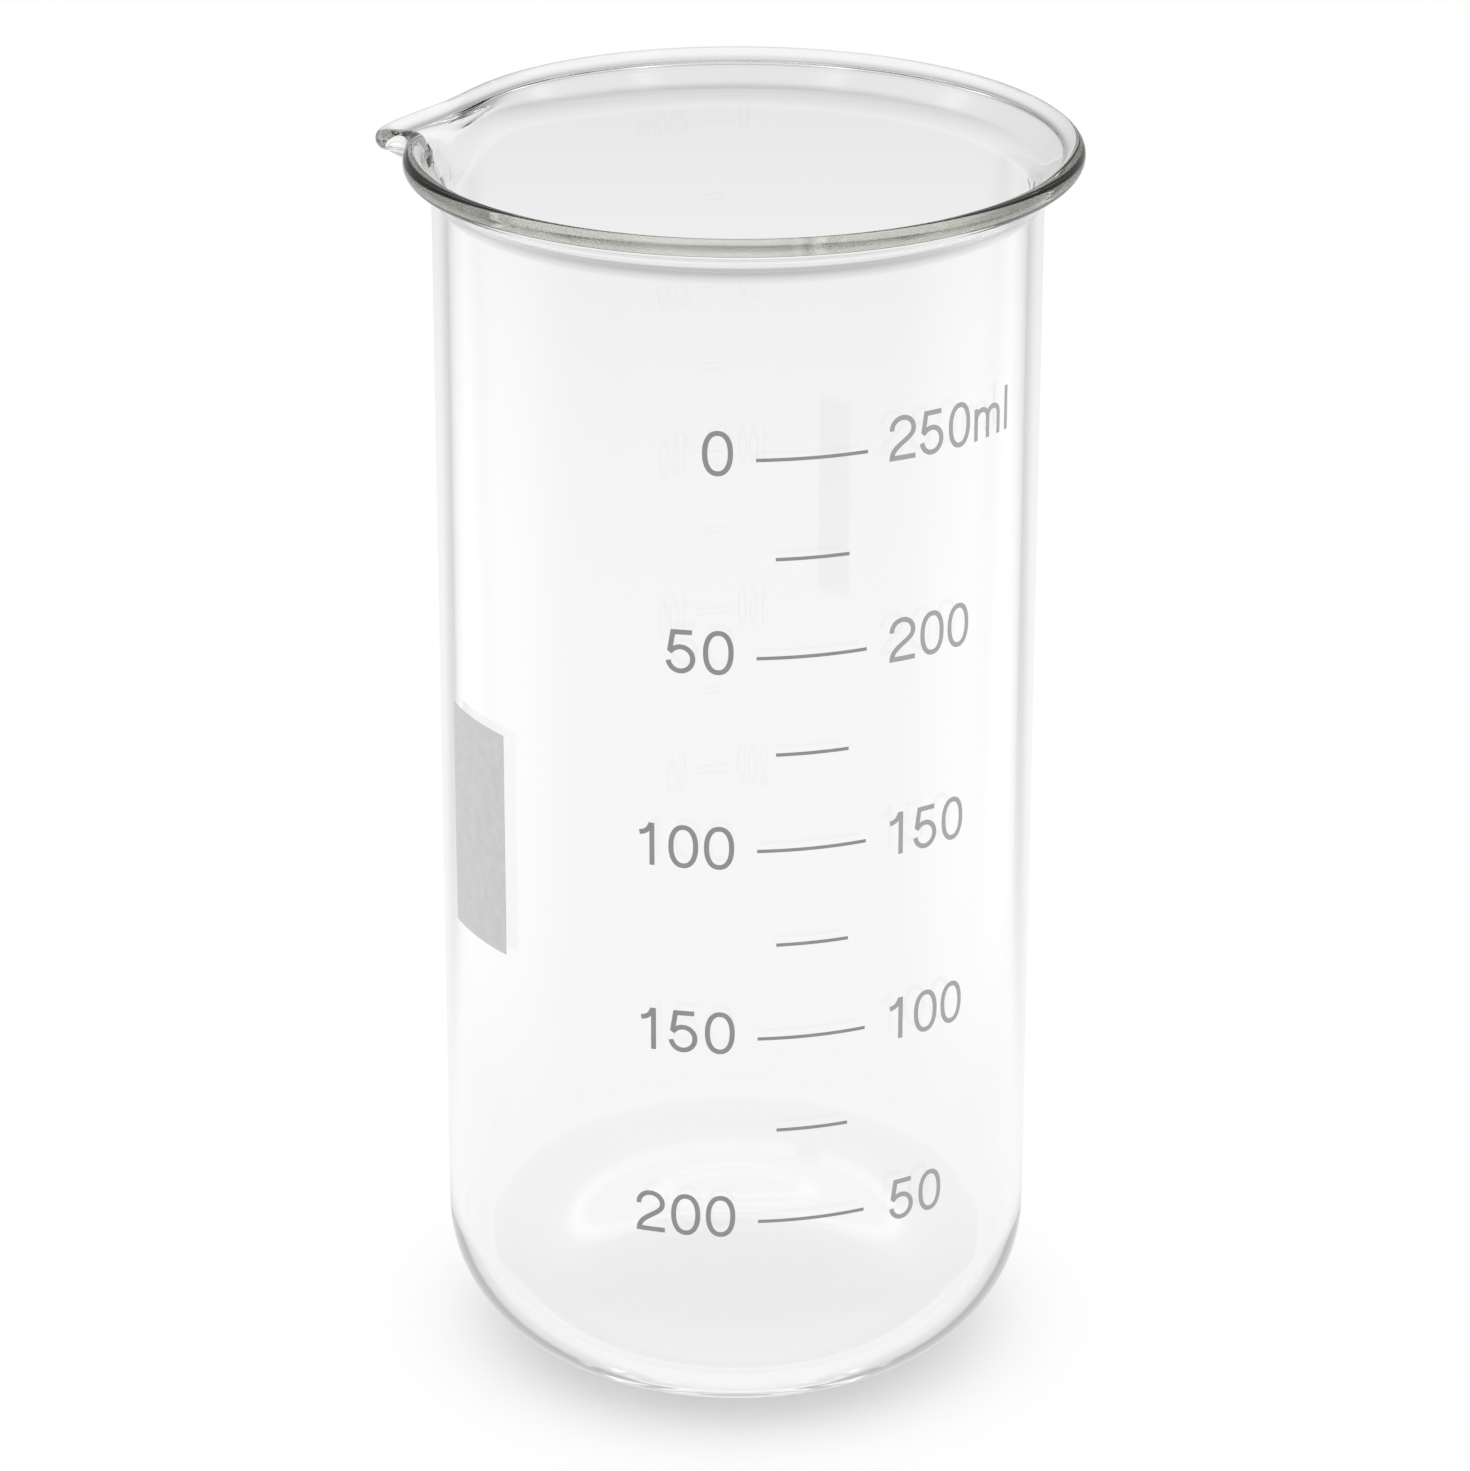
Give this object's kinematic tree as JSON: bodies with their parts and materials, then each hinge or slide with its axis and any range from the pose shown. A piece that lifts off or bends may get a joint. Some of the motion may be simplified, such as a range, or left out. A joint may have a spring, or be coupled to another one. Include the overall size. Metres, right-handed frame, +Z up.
{
  "type": "tall form beaker",
  "caption": "Tall clear glass laboratory beaker with a round heel, a flared beaded rim pulled into a pouring spout, and an enamel volume scale on the wall.",
  "frame": {"origin": "centre of the underside, on the plane that the beaker stands on", "axes": "+Z up along the beaker's axis; the pouring spout points along -X and the scale of volumes is on the -Y side"},
  "size_m": [0.0708, 0.0678, 0.1287],
  "materials": {
    "glass": "clear, fire-polished",
    "scale_enamel": "fired pale grey enamel, satin",
    "field_enamel": "fired pale grey enamel, matt enough to write on"
  },
  "bodies": {
    "root": {"glass_beaker": "glass", "graduation_bars": "scale_enamel", "marking_field": "field_enamel"}
  },
  "joints": []
}
